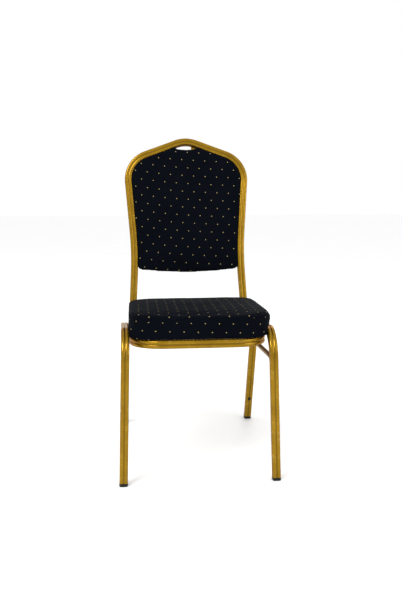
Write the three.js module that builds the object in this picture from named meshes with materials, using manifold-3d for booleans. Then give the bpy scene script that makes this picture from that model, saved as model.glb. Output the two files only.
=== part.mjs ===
// A stacking banquet chair: two bent side frames, a crown-shaped back frame, a seat frame,
// upholstered seat and back, and the tabs, screws, glides and bumpers that go with them.
// Millimetres, +Z up. The sitter faces -Y. The origin is on the floor, under the middle of the chair.
import * as THREE from "three";
import { mergeVertices } from "three/addons/utils/BufferGeometryUtils.js";
import Module from "manifold-3d";

// ---------- driving dimensions ----------
const GAP = 0.3; // between pieces that touch or are welded

// The fluted frame tube
const TUBE_HALF = 11.25;
const TUBE_CORNER = 5.5;
const TUBE_WALL = 1.3;
const FLUTE_HALF = 3.6;
const FLUTE_DEPTH = 1.2;
const BEND_STEP = 9; // degrees of bend between two cross-sections
const CORNER_STEPS = 7; // flats in a quarter turn of the seat's plan

// The side frames. Y is counted from the front feet here, and the whole chair is centred at the end.
const GLIDE = { frontHeight: 8, rearHeight: 13, proud: 0.2, stem: 16, collar: 30 };
const FRONT_FOOT = { x: 207.8, y: 0 };
const FRONT_BEND = { x: 196.2, y: 20.6, z: 411.3, radius: 70 };
const REAR_BEND = { x: 203, y: 352, z: 364.9, radius: 50 };
const REAR_FOOT = { x: 209.4, y: 514 };

// The back frame, in its own tilted plane: x across, s up the slope
const BACK = { y: 417.5, z: 492, recline: 12.65 };
const CROWN_PEAK = { s: 450.6, radius: 90 };
const CROWN_SHOULDER = { x: 189.3, s: 381, radius: 86 };
const BACK_WAIST = { x: 166.3, s: 92, radius: 1000 };
const UPRIGHT_END = { x: 181, s: -185 };
const CROWN_FROM = 300; // s above which the frame's inner edge belongs to the crown

// The back panel inside the back frame
const PANEL_CLEARANCE = 0.4; // between the panel's edge and the frame
const PANEL_BOTTOM = { middle: 29, corner: 38, cornerRadius: 12, steps: 5 };
const HAND_HOLE = { halfWidth: 36, shoulder: 5, middle: 416.5, end: 419.5 };
const BACK_BOARD = { front: -3, rear: 4, inset: 2 };
// The pads at rising distances from the board: depth through the back, and how far the outline draws in
const FRONT_PAD_LEVELS = [
  { depth: -3.3, inset: 0.3 },
  { depth: -11, inset: 0 },
  { depth: -14.5, inset: 2 },
  { depth: -16.7, inset: 9 },
  { depth: -17.5, inset: 24 },
];
const REAR_PAD_LEVELS = [
  { depth: 15, inset: 26 },
  { depth: 14.4, inset: 10 },
  { depth: 12, inset: 2.5 },
  { depth: 8, inset: 0.3 },
  { depth: 4.3, inset: 0.3 },
];

// The seat, in its own plane that falls to the rear: y and z are counted from the seat frame's front
const SEAT = { y: 7, z: 392.5, fall: 3 };
const SEAT_RAIL = { frontHalf: 174.4, rearHalf: 181.1, corner: 13.5, radius: 80, end: 376 };
const SEAT_FRONT = { middle: 10.5, radius: 1500 };
const CUSHION = { rear: 384, frontRadius: 62, rearRadius: 62, bow: 6 };
// The cushion at rising heights above the seat frame: half width, how far in from front and rear,
// and how far it leans sideways
const CUSHION_LEVELS = [
  { z: 0.3, half: 183.4, inset: 1.5, lean: 0 },
  { z: 5, half: 184.8, inset: 0, lean: 0 },
  { z: 22, half: 185, inset: 0, lean: 0 },
  { z: 33, half: 190, inset: -0.8, lean: 2.5 },
  { z: 46, half: 192.8, inset: -1.5, lean: 4 },
  { z: 62.5, half: 191.5, inset: -0.5, lean: 4 },
  { z: 67, half: 183, inset: 8, lean: 3.5 },
  { z: 70.5, half: 164, inset: 27, lean: 3 },
  { z: 73, half: 126, inset: 62, lean: 2 },
];
const SEAT_BOARD = { inset: 8, thickness: 10 };
const DUST_COVER = { inset: 26, thickness: 0.8 };
const CROSS_TUBE = { radius: 9.5, wall: 1.2, halfLength: 176, y: 389.5, z: 361.5 };

// The arched side braces
const BRACE = {
  radius: 7,
  frontX: 198.8,
  rearX: 204.9,
  frontEnd: { y: 14, z: 276 },
  frontBend: { y: 50, z: 331, radius: 42 },
  rearBend: { y: 335, z: 308, radius: 42 },
  rearEnd: { y: 384, z: 294 },
};

// Small parts
const BUMPER = { z: 86, radius: 5.6, height: 3.2, topRadius: 3.9, sides: 14 };
const TAB = { thickness: 2.5, hole: 3.1, pocket: 1 };
const SCREW = { shank: 2.4, head: 5, headHeight: 2.6, headClearance: 0.5, sides: 12 };
const BACK_SCREW_TIP = -2;
const SEAT_SCREW_LENGTH = 11;
// The tabs that hold the back: on the crown with the hole below the middle, and inside the uprights
const CROWN_TAB = { width: 26, height: 34, holeDrop: 6 };
const UPRIGHT_TAB = { width: 30, height: 20, inwards: 13 };
const BACK_TABS = [
  { name: "upper_right", x: 30, root: 422.5, tip: 396.5, side: "crown" },
  { name: "upper_left", x: -50, root: 415.5, tip: 389.5, side: "crown" },
  { name: "lower_right", x: 158, s: 96, side: "upright" },
  { name: "lower_left", x: -158, s: 96, side: "upright" },
];
const SEAT_TABS = [
  { name: "front_right", x: 162.9, y: 112 },
  { name: "front_left", x: -162.9, y: 112 },
  { name: "rear_right", x: 167.6, y: 318 },
  { name: "rear_left", x: -167.6, y: 318 },
];
const SEAT_TAB = { reach: 26, root: 12, width: 30, holeShift: 4 };
const CUTTER = 60; // length of the solids that bore holes

const wasm = await Module();
wasm.setup();
const V2 = (x, y) => new THREE.Vector2(x, y);
const V3 = (x, y, z) => new THREE.Vector3(x, y, z);
const degrees = THREE.MathUtils.degToRad;

// ---------- materials ----------
const paint = new THREE.MeshStandardMaterial({ color: 0xa77a18, metalness: 0.85, roughness: 0.35 });
const fabric = new THREE.MeshStandardMaterial({ color: 0x0b1220, metalness: 0, roughness: 0.95 });
const plywood = new THREE.MeshStandardMaterial({ color: 0xb08a5a, metalness: 0, roughness: 0.8 });
const plastic = new THREE.MeshStandardMaterial({ color: 0x111111, metalness: 0, roughness: 0.55 });
const lining = new THREE.MeshStandardMaterial({ color: 0x1a1a1a, metalness: 0, roughness: 1 });
const zinc = new THREE.MeshStandardMaterial({ color: 0xb8b8b0, metalness: 0.9, roughness: 0.4 });

// ---------- solids ----------
function solid(geometry) {
  const bare = geometry.index ? geometry.toNonIndexed() : geometry.clone();
  for (const name of ["normal", "uv"]) bare.deleteAttribute(name);
  const merged = mergeVertices(bare, 1e-3);
  return new wasm.Manifold(
    new wasm.Mesh({
      numProp: 3,
      vertProperties: merged.attributes.position.array,
      triVerts: new Uint32Array(merged.index.array),
    }),
  );
}

function geometryOf(body) {
  const { vertProperties, triVerts } = body.getMesh();
  const geometry = new THREE.BufferGeometry();
  geometry.setAttribute("position", new THREE.BufferAttribute(vertProperties, 3));
  geometry.setIndex(new THREE.BufferAttribute(triVerts, 1));
  return geometry;
}

// A closed solid from rings of equally many points, each turning anticlockwise seen from the last
// ring's side.
function stack(rings, capAxes) {
  const count = rings[0].length;
  const positions = rings.flat().flatMap((p) => [p.x, p.y, p.z]);
  const faces = [];
  for (let r = 0; r + 1 < rings.length; r++) {
    for (let i = 0; i < count; i++) {
      const a = r * count + i;
      const b = r * count + ((i + 1) % count);
      faces.push(a, b, b + count, a, b + count, a + count);
    }
  }
  const flat = (ring) => ring.map((p) => V2(p[capAxes[0]], p[capAxes[1]]));
  const last = (rings.length - 1) * count;
  for (const [a, b, c] of THREE.ShapeUtils.triangulateShape(flat(rings[0]), [])) faces.push(a, c, b);
  for (const [a, b, c] of THREE.ShapeUtils.triangulateShape(flat(rings.at(-1)), []))
    faces.push(last + a, last + b, last + c);
  const geometry = new THREE.BufferGeometry();
  geometry.setAttribute("position", new THREE.Float32BufferAttribute(positions, 3));
  geometry.setIndex(faces);
  return geometry;
}

// ---------- bent tubes ----------
// Stations along a polyline whose corners are rounded to their bend radius.
function bentPath(corners) {
  const stations = [];
  const points = corners.map((c) => c.point);
  const direction = (i) => points[i + 1].clone().sub(points[i]).normalize();
  stations.push({ point: points[0].clone(), tangent: direction(0) });
  for (let i = 1; i + 1 < points.length; i++) {
    const into = direction(i - 1);
    const out = direction(i);
    const turn = into.angleTo(out);
    const setback = corners[i].radius * Math.tan(turn / 2);
    const axis = into.clone().cross(out).normalize();
    const start = points[i].clone().addScaledVector(into, -setback);
    const centre = start.clone().addScaledVector(axis.clone().cross(into), corners[i].radius);
    const steps = Math.max(2, Math.ceil(THREE.MathUtils.radToDeg(turn) / BEND_STEP));
    for (let k = 0; k <= steps; k++) {
      const angle = (turn * k) / steps;
      const arm = start.clone().sub(centre).applyAxisAngle(axis, angle);
      stations.push({ point: centre.clone().add(arm), tangent: into.clone().applyAxisAngle(axis, angle) });
    }
  }
  stations.push({ point: points.at(-1).clone(), tangent: direction(points.length - 2) });
  return stations;
}

// A square section with round corners, and a flute down the middle of each side, turning anticlockwise.
function squareSection(half, corner, flute) {
  const points = [];
  for (let quarter = 0; quarter < 4; quarter++) {
    const turn = (quarter * Math.PI) / 2;
    const place = (u, v) => V2(u, v).rotateAround(V2(0, 0), turn);
    if (flute) {
      points.push(place(half, -FLUTE_HALF), place(half - FLUTE_DEPTH, 0), place(half, FLUTE_HALF));
    }
    for (let k = 0; k < 3; k++) {
      const angle = (k * Math.PI) / 4;
      const inset = half - corner;
      points.push(place(inset + corner * Math.cos(angle), inset + corner * Math.sin(angle)));
    }
  }
  return points;
}

function roundSection(radius, sides = 12) {
  return Array.from({ length: sides }, (_, i) => {
    const angle = (2 * Math.PI * (i + 0.5)) / sides;
    return V2(radius * Math.cos(angle), radius * Math.sin(angle));
  });
}

// A tube whose section keeps one side along the given direction. With a bore it is open at both ends.
function sweep(stations, side, outer, bore) {
  const place = (section) =>
    stations.map(({ point, tangent }) => {
      const u = side.clone().addScaledVector(tangent, -side.dot(tangent)).normalize();
      const v = tangent.clone().cross(u);
      return section.map((p) => point.clone().addScaledVector(u, p.x).addScaledVector(v, p.y));
    });
  const rings = place(outer);
  const count = outer.length;
  const positions = rings.flat();
  const faces = [];
  const wall = (first, n, rows, flip) => {
    for (let r = 0; r + 1 < rows; r++) {
      for (let i = 0; i < n; i++) {
        const a = first + r * n + i;
        const b = first + r * n + ((i + 1) % n);
        faces.push(...(flip ? [a, b + n, b, a, a + n, b + n] : [a, b, b + n, a, b + n, a + n]));
      }
    }
  };
  wall(0, count, rings.length, false);
  const bored = bore ? place(bore) : [];
  const inner = positions.length;
  positions.push(...bored.flat());
  if (bore) wall(inner, bore.length, bored.length, true);
  const caps = THREE.ShapeUtils.triangulateShape(outer, bore ? [bore] : []);
  const lastOuter = (rings.length - 1) * count;
  const lastInner = inner + (rings.length - 1) * (bore ? bore.length : 0);
  const first = (i) => (i < count ? i : inner + i - count);
  const last = (i) => (i < count ? lastOuter + i : lastInner + i - count);
  for (const [a, b, c] of caps) {
    faces.push(first(a), first(c), first(b));
    faces.push(last(a), last(b), last(c));
  }
  const geometry = new THREE.BufferGeometry();
  const numbers = positions.flatMap((p) => [p.x, p.y, p.z]);
  geometry.setAttribute("position", new THREE.Float32BufferAttribute(numbers, 3));
  geometry.setIndex(faces);
  return geometry;
}

const tubeOutside = squareSection(TUBE_HALF, TUBE_CORNER, true);
const tubeInside = squareSection(TUBE_HALF - TUBE_WALL - FLUTE_DEPTH, TUBE_CORNER - TUBE_WALL, false);
const tubeClearance = squareSection(TUBE_HALF + GAP, TUBE_CORNER, false);
const flutedTube = (stations, side) => sweep(stations, side, tubeOutside, tubeInside);
const clearanceOf = (stations, side) => solid(sweep(stations, side, tubeClearance));

// ---------- the scene graph ----------
const chair = new THREE.Group();
const backPlane = new THREE.Group();
backPlane.position.set(0, BACK.y, BACK.z);
backPlane.rotation.x = -degrees(BACK.recline);
const seatPlane = new THREE.Group();
seatPlane.position.set(0, SEAT.y, SEAT.z);
seatPlane.rotation.x = -degrees(SEAT.fall);
chair.add(backPlane, seatPlane);
chair.updateMatrixWorld(true);

function add(parent, name, geometry, material) {
  const mesh = new THREE.Mesh(geometry, material);
  mesh.name = name;
  parent.add(mesh);
  return mesh;
}

const into = (group, body) => body.transform([...group.matrixWorld.clone().invert().elements]);

// ---------- side frames, glides and bumpers ----------
const acrossX = V3(1, 0, 0);

// Where a leg's centre line crosses a height, from its bend down to its foot on the floor.
function legPoint(foot, bend, z) {
  const t = z / bend.z;
  return V3(THREE.MathUtils.lerp(foot.x, bend.x, t), THREE.MathUtils.lerp(foot.y, bend.y, t), z);
}

function sideFramePath(sign) {
  const corners = [
    { point: legPoint(FRONT_FOOT, FRONT_BEND, GLIDE.frontHeight) },
    { point: V3(FRONT_BEND.x, FRONT_BEND.y, FRONT_BEND.z), radius: FRONT_BEND.radius },
    { point: V3(REAR_BEND.x, REAR_BEND.y, REAR_BEND.z), radius: REAR_BEND.radius },
    { point: legPoint(REAR_FOOT, REAR_BEND, GLIDE.rearHeight) },
  ];
  for (const c of corners) c.point.x *= sign;
  return bentPath(corners);
}

// A glide: a collar with its underside cut flat at the floor, and a stem inside the tube's end.
function glide(end, outward) {
  const axis = outward.clone().normalize();
  const start = end.point.clone().addScaledVector(axis, GAP);
  const run = (from, to) => [
    { point: start.clone().addScaledVector(axis, from), tangent: axis },
    { point: start.clone().addScaledVector(axis, to), tangent: axis },
  ];
  const collarSection = squareSection(TUBE_HALF + GLIDE.proud, TUBE_CORNER, false);
  const collar = solid(sweep(run(0, GLIDE.collar), acrossX, collarSection));
  const stemHalf = TUBE_HALF - TUBE_WALL - FLUTE_DEPTH - GAP;
  const stem = solid(sweep(run(-GLIDE.stem, 1), acrossX, squareSection(stemHalf, TUBE_CORNER, false)));
  const floor = new THREE.BoxGeometry(CUTTER, 2 * CUTTER, CUTTER);
  floor.translate(end.point.x, end.point.y, -CUTTER / 2);
  return geometryOf(collar.add(stem).subtract(solid(floor)));
}

const sideClearance = {};
for (const [sideName, sign] of [["right", 1], ["left", -1]]) {
  const path = sideFramePath(sign);
  add(chair, `side_frame_${sideName}`, flutedTube(path, acrossX), paint);
  sideClearance[sideName] = clearanceOf(path, acrossX);
  const front = path[0];
  const rear = path.at(-1);
  add(chair, `glide_front_${sideName}`, glide(front, front.tangent.clone().negate()), plastic);
  add(chair, `glide_rear_${sideName}`, glide(rear, rear.tangent), plastic);

  const spot = legPoint(REAR_FOOT, REAR_BEND, BUMPER.z);
  const forward = V3(0, -1, 0).addScaledVector(rear.tangent, rear.tangent.y).normalize();
  const buttonProfile = [V2(0, 0), V2(BUMPER.radius, 0), V2(BUMPER.radius, BUMPER.height / 2),
    V2(BUMPER.topRadius, BUMPER.height), V2(0, BUMPER.height)];
  const button = new THREE.LatheGeometry(buttonProfile, BUMPER.sides);
  const bumper = add(chair, `stack_bumper_${sideName}`, button, plastic);
  bumper.position.copy(spot).addScaledVector(forward, TUBE_HALF + GAP);
  bumper.position.x *= sign;
  bumper.quaternion.setFromUnitVectors(V3(0, 1, 0), forward);

  const { frontEnd, frontBend, rearBend, rearEnd, frontX, rearX } = BRACE;
  const braceX = (y) => sign * THREE.MathUtils.mapLinear(y, frontEnd.y, rearEnd.y, frontX, rearX);
  const bracePath = bentPath([frontEnd, frontBend, rearBend, rearEnd]
    .map((b) => ({ point: V3(braceX(b.y), b.y, b.z), radius: b.radius })));
  const brace = solid(sweep(bracePath, acrossX, roundSection(BRACE.radius)));
  add(chair, `side_brace_${sideName}`, geometryOf(brace.subtract(sideClearance[sideName])), paint);
}

// ---------- back frame ----------
const throughBack = V3(0, 1, 0);
const backHalf = [
  { point: V3(UPRIGHT_END.x, 0, UPRIGHT_END.s) },
  { point: V3(BACK_WAIST.x, 0, BACK_WAIST.s), radius: BACK_WAIST.radius },
  { point: V3(CROWN_SHOULDER.x, 0, CROWN_SHOULDER.s), radius: CROWN_SHOULDER.radius },
];
const mirrored = (corners) =>
  corners.map((c) => ({ ...c, point: c.point.clone().multiply(V3(-1, 1, 1)) })).reverse();
const crownPeak = { point: V3(0, 0, CROWN_PEAK.s), radius: CROWN_PEAK.radius };
const backPath = bentPath([...backHalf, crownPeak, ...mirrored(backHalf)]);
add(backPlane, "back_frame_tube", flutedTube(backPath, throughBack), paint);
const backClearance = clearanceOf(backPath, throughBack).transform([...backPlane.matrixWorld.elements]);

// ---------- back panel ----------
// The frame's inner edge, from the foot of the right upright up to the crown's peak, as (x, s) points.
function innerEdge(clear) {
  return backPath
    .filter((st) => st.point.x > -1e-6)
    .map(({ point, tangent }) => {
      const inward = tangent.clone().cross(throughBack);
      const p = point.clone().addScaledVector(inward, TUBE_HALF + clear);
      return V2(p.x, p.z);
    });
}

// The point where a chain of (x, s) points crosses a height or a width.
function crossing(chain, key, value) {
  for (let i = 0; i + 1 < chain.length; i++) {
    const t = (value - chain[i][key]) / (chain[i + 1][key] - chain[i][key]);
    if (t >= 0 && t <= 1) return chain[i].clone().lerp(chain[i + 1], t);
  }
  throw new Error(`the edge doesn't cross ${key} = ${value}`);
}

function panelOutline(clear) {
  const edge = innerEdge(clear);
  const b = PANEL_BOTTOM;
  const low = crossing(edge, "y", b.corner + b.cornerRadius);
  const overHandHole = (p) => p.y > CROWN_FROM && p.x < HAND_HOLE.halfWidth;
  const high = crossing(edge.filter((p) => p.y > CROWN_FROM), "x", HAND_HOLE.halfWidth);
  const right = [];
  for (let k = 0; k <= b.steps; k++) {
    const t = k / b.steps;
    right.push(V2(t * (low.x - b.cornerRadius), b.middle + (b.corner - b.middle) * t * t + clear));
  }
  const corner = V2(low.x - b.cornerRadius, low.y);
  for (const angle of [-67.5, -45, -22.5].map(degrees)) {
    right.push(V2(Math.cos(angle), Math.sin(angle)).multiplyScalar(b.cornerRadius).add(corner));
  }
  right.push(low);
  right.push(...edge.filter((p) => p.y > low.y + 1 && !overHandHole(p)));
  right.push(high, V2(HAND_HOLE.halfWidth - HAND_HOLE.shoulder, HAND_HOLE.end), V2(0, HAND_HOLE.middle));
  const left = right.slice(1, -1).reverse().map((p) => V2(-p.x, p.y));
  return [...right, ...left];
}

// An outline shrunk towards its middle, so that its widest points move in by the distance.
function inset(outline, distance) {
  const box = new THREE.Box2().setFromPoints(outline);
  const centre = box.getCenter(V2());
  const half = box.getSize(V2()).multiplyScalar(0.5);
  const scale = V2(1 - distance / half.x, 1 - distance / half.y);
  return outline.map((p) => p.clone().sub(centre).multiply(scale).add(centre));
}

// A pad or board in the back's plane, from its rear level to its front level.
const backLevels = (edge, levels) =>
  stack(levels.map((l) => inset(edge, l.inset).map((p) => V3(p.x, l.depth, p.y))), ["x", "z"]);

// A screw along +Y with its tip at the origin: shank, domed head.
function screwGeometry(length) {
  const { shank, head, headHeight, sides } = SCREW;
  const profile = [V2(0, 0), V2(shank, 0), V2(shank, length), V2(head, length),
    V2(head * 0.92, length + headHeight * 0.6), V2(head * 0.6, length + headHeight),
    V2(0, length + headHeight)];
  return new THREE.LatheGeometry(profile, sides);
}

const cutter = (radius) => new THREE.CylinderGeometry(radius, radius, CUTTER, 10);

const outline = panelOutline(PANEL_CLEARANCE);
const boardLevels = [BACK_BOARD.rear, BACK_BOARD.front]
  .map((depth) => ({ depth, inset: BACK_BOARD.inset }));
let board = solid(backLevels(outline, boardLevels));
let rearPad = solid(backLevels(outline, REAR_PAD_LEVELS));
const tabFace = BACK_BOARD.rear + GAP; // the tabs lie against the board's rear face
for (const tab of BACK_TABS) {
  const onCrown = tab.side === "crown";
  const { width, height } = onCrown ? CROWN_TAB : UPRIGHT_TAB;
  const centre = onCrown
    ? V2(tab.x, (tab.root + tab.tip) / 2)
    : V2(tab.x - Math.sign(tab.x) * UPRIGHT_TAB.inwards, tab.s);
  const holeDrop = onCrown ? CROWN_TAB.holeDrop : 0;
  const hole = V2(centre.x, centre.y - holeDrop);
  const corners = [V2(-1, -1), V2(1, -1), V2(1, 1), V2(-1, 1)];
  const plate = new THREE.Shape(corners.map((c) => c.multiply(V2(width / 2, height / 2))));
  plate.holes.push(new THREE.Path().absarc(0, -holeDrop, TAB.hole, 0, 2 * Math.PI));
  const extrusion = { depth: TAB.thickness, bevelEnabled: false, curveSegments: 5 };
  const flat = new THREE.ExtrudeGeometry(plate, extrusion).rotateX(Math.PI / 2);
  flat.translate(centre.x, tabFace + TAB.thickness, centre.y);
  const seated = solid(flat).subtract(into(backPlane, backClearance));
  add(backPlane, `back_tab_${tab.name}`, geometryOf(seated), paint);

  const screwLength = tabFace + TAB.thickness + GAP - BACK_SCREW_TIP;
  const screw = add(backPlane, `back_screw_${tab.name}`, screwGeometry(screwLength), zinc);
  screw.position.set(hole.x, BACK_SCREW_TIP, hole.y);
  const bore = cutter(SCREW.shank + GAP).translate(hole.x, BACK_SCREW_TIP - GAP + CUTTER / 2, hole.y);
  board = board.subtract(solid(bore));
  const pocketDepth = 2 * (TAB.thickness + GAP);
  const pocket = new THREE.BoxGeometry(width + 2 * TAB.pocket, pocketDepth, height + 2 * TAB.pocket);
  const headRadius = SCREW.head + SCREW.headClearance;
  const headDepth = 2 * (TAB.thickness + SCREW.headHeight + 2 * GAP);
  const headRoom = new THREE.CylinderGeometry(headRadius, headRadius, headDepth, SCREW.sides);
  rearPad = rearPad
    .subtract(solid(pocket.translate(centre.x, tabFace, centre.y)))
    .subtract(solid(headRoom.translate(hole.x, tabFace, hole.y)));
}
add(backPlane, "back_board", geometryOf(board), plywood);
add(backPlane, "back_pad_rear", geometryOf(rearPad), fabric);
add(backPlane, "back_pad_front", backLevels(outline, FRONT_PAD_LEVELS), fabric);

// ---------- seat frame ----------
const seatRailZ = -TUBE_HALF;
const railHalf = [
  { point: V3(SEAT_RAIL.rearHalf, SEAT_RAIL.end + TUBE_HALF, seatRailZ) },
  { point: V3(SEAT_RAIL.frontHalf, SEAT_RAIL.corner, seatRailZ), radius: SEAT_RAIL.radius },
];
const seatFront = { point: V3(0, SEAT_FRONT.middle, seatRailZ), radius: SEAT_FRONT.radius };
const seatPath = bentPath([...railHalf, seatFront, ...mirrored(railHalf)]);
const upZ = V3(0, 0, 1);
const biggestOf = (body) => body.decompose().sort((a, b) => b.volume() - a.volume())[0];
// The rails end square against the uprights' front faces.
const behindUprights = new THREE.BoxGeometry(10 * CUTTER, 5 * CUTTER, 15 * CUTTER);
behindUprights.translate(0, 2.5 * CUTTER - TUBE_HALF - GAP, 0);
const uprightFaces = solid(behindUprights).transform([...backPlane.matrixWorld.elements]);
const seatFrame = solid(flutedTube(seatPath, upZ))
  .subtract(into(seatPlane, uprightFaces))
  .subtract(into(seatPlane, sideClearance.right))
  .subtract(into(seatPlane, sideClearance.left));
add(seatPlane, "seat_frame_tube", geometryOf(biggestOf(seatFrame)), paint);
const seatRailClearance = clearanceOf(seatPath, upZ);

// The rear cross tube between the uprights, under the back edge of the seat
const crossEnd = (end) => V3(end * CROSS_TUBE.halfLength, CROSS_TUBE.y, CROSS_TUBE.z);
const crossRun = [-1, 1].map((end) => ({ point: crossEnd(end), tangent: acrossX }));
const crossBore = roundSection(CROSS_TUBE.radius - CROSS_TUBE.wall, 10);
const crossTube = solid(sweep(crossRun, upZ, roundSection(CROSS_TUBE.radius, 14), crossBore));
add(chair, "rear_cross_tube", geometryOf(crossTube.subtract(backClearance)), paint);

// ---------- seat cushion, board and lining ----------
// The seat's plan, anticlockwise from the front middle: straight sides, round corners and a bowed front.
function seatOutline({ half, inset, lean = 0 }) {
  const { rear, frontRadius, rearRadius, bow } = CUSHION;
  const corners = [
    { y: inset + frontRadius, radius: frontRadius, from: -90 },
    { y: rear - inset - rearRadius, radius: rearRadius, from: 0 },
  ];
  const right = [V2(0, inset)];
  for (const { y, radius, from } of corners) {
    for (let k = 0; k <= CORNER_STEPS; k++) {
      const angle = degrees(from + (90 * k) / CORNER_STEPS);
      right.push(V2(half - radius + radius * Math.cos(angle), y + radius * Math.sin(angle)));
    }
  }
  for (const p of right) {
    if (p.y < inset + frontRadius) p.y += bow * (p.x / half) ** 2 * (1 - (p.y - inset) / frontRadius);
  }
  right.push(V2(0, rear - inset));
  const left = right.slice(1, -1).reverse().map((p) => V2(-p.x, p.y));
  return [...right, ...left].map((p) => V2(p.x + lean, p.y));
}

const seatStack = (levels) =>
  stack(levels.map((l) => seatOutline(l).map((p) => V3(p.x, p.y, l.z))), ["x", "y"]);
const seatSlab = (low, high, shrink) =>
  solid(seatStack([low, high].map((z) => ({ z, half: CUSHION_LEVELS[0].half - shrink, inset: shrink }))));
const boardTop = GAP + SEAT_BOARD.thickness;
const boardRoom = seatSlab(-SEAT_BOARD.thickness, boardTop + GAP, SEAT_BOARD.inset);
const cushion = solid(seatStack(CUSHION_LEVELS)).subtract(boardRoom);
add(seatPlane, "seat_cushion", geometryOf(cushion), fabric);

let seatBoard = seatSlab(GAP, boardTop, SEAT_BOARD.inset + GAP);
let dustCover = seatSlab(-DUST_COVER.thickness, 0, DUST_COVER.inset).subtract(seatRailClearance);
for (const tab of SEAT_TABS) {
  const inward = -Math.sign(tab.x);
  const tabTop = -DUST_COVER.thickness - GAP;
  const centre = V3(tab.x + (inward * SEAT_TAB.reach) / 2, tab.y, tabTop - TAB.thickness / 2);
  const hole = V3(centre.x + inward * SEAT_TAB.holeShift, tab.y, 0);
  const plate = new THREE.BoxGeometry(SEAT_TAB.reach + SEAT_TAB.root, SEAT_TAB.width, TAB.thickness);
  const bore = (radius, z) => solid(cutter(radius).rotateX(Math.PI / 2).translate(hole.x, hole.y, z));
  const body = solid(plate.translate(centre.x, centre.y, centre.z))
    .subtract(seatRailClearance)
    .subtract(bore(TAB.hole, 0));
  add(seatPlane, `seat_tab_${tab.name}`, geometryOf(biggestOf(body)), paint);

  const screw = add(seatPlane, `seat_screw_${tab.name}`, screwGeometry(SEAT_SCREW_LENGTH), zinc);
  screw.rotation.x = -Math.PI / 2;
  screw.position.set(hole.x, hole.y, tabTop - TAB.thickness - GAP + SEAT_SCREW_LENGTH);
  const boreTop = screw.position.z + GAP;
  seatBoard = seatBoard.subtract(bore(SCREW.shank + GAP, boreTop - CUTTER / 2));
  dustCover = dustCover.subtract(bore(SCREW.shank + GAP, 0));
}
add(seatPlane, "seat_board", geometryOf(seatBoard), plywood);
add(seatPlane, "seat_dust_cover", geometryOf(dustCover), lining);

// ---------- the origin: under the middle of the chair, on the floor ----------
chair.updateMatrixWorld(true);
const bounds = new THREE.Box3().setFromObject(chair, true);
const root = new THREE.Group();
root.add(chair);
chair.position.set(0, -(bounds.min.y + bounds.max.y) / 2, -bounds.min.z);

export default root;
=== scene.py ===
"""A gold banquet chair with a dotted navy seat and back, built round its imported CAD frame.

Dimensions are in millimetres until a mesh is made. The chair faces -Y, and Y in the side views is
counted from the front feet, as in the CAD model.
"""

import math

import bmesh
import bpy
import numpy as np
from mathutils import Matrix, Vector, noise
from mathutils.bvhtree import BVHTree


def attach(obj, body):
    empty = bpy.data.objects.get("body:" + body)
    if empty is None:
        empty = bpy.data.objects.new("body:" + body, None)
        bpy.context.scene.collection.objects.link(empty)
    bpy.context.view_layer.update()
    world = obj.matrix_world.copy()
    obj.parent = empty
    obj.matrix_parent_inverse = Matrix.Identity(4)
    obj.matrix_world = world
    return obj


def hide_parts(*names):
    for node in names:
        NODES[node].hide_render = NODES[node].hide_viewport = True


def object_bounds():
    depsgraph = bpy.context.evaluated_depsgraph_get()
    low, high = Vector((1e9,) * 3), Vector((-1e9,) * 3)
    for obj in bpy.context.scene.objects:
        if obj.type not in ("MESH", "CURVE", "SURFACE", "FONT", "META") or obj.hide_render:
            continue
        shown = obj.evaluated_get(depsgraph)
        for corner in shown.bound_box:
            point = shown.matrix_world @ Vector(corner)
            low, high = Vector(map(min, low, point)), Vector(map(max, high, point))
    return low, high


MM = 0.001

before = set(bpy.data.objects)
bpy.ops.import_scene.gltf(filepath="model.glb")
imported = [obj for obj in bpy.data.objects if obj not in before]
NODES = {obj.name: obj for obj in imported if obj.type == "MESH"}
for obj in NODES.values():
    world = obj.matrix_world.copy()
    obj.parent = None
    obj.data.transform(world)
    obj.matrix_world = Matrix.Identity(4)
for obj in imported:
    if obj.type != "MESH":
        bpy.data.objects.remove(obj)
CAD_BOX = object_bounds()

# ---------- driving dimensions, as in the CAD model ----------
FRONT_FEET_Y = -257.9  # the front feet in the row frame

TUBE_HALF, TUBE_CORNER = 11.25, 5.5
FLUTE_HALF, FLUTE_DEPTH = 3.6, 1.2

FRONT_FOOT = (207.8, 0.0)
FRONT_BEND = (196.2, 20.6, 411.3, 70)
REAR_BEND = (203, 352, 364.9, 50)
REAR_FOOT = (209.4, 514.0)
FRONT_END_Z, REAR_END_Z = 8, 13

BACK_Y, BACK_Z, RECLINE = 417.5, 492, 12.65
CROWN_PEAK = (450.6, 90)
CROWN_SHOULDER = (189.3, 381, 86)
BACK_WAIST = (166.3, 92, 1000)
UPRIGHT_END = (181, -185)

SEAT_Y, SEAT_Z, SEAT_FALL = 7, 392.5, 3
SEAT_FRONT_HALF, SEAT_REAR_HALF = 174.4, 181.1
SEAT_CORNER_Y, SEAT_CORNER_RADIUS = 13.5, 80
SEAT_FRONT_Y, SEAT_FRONT_RADIUS = 10.5, 1500
SEAT_RAIL_END = 376 + TUBE_HALF

CROSS_RADIUS, CROSS_HALF, CROSS_Y, CROSS_Z = 9.5, 176, 389.5, 361.5

BRACE_RADIUS = 7
BRACE_X = (198.8, 204.9)
BRACE_FRONT, BRACE_FRONT_BEND = (14, 276), (50, 331, 42)
BRACE_REAR_BEND, BRACE_REAR = (335, 308, 42), (384, 294)

SEAM_Z = 62.5  # the cushion's top seam above the seat frame

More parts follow.
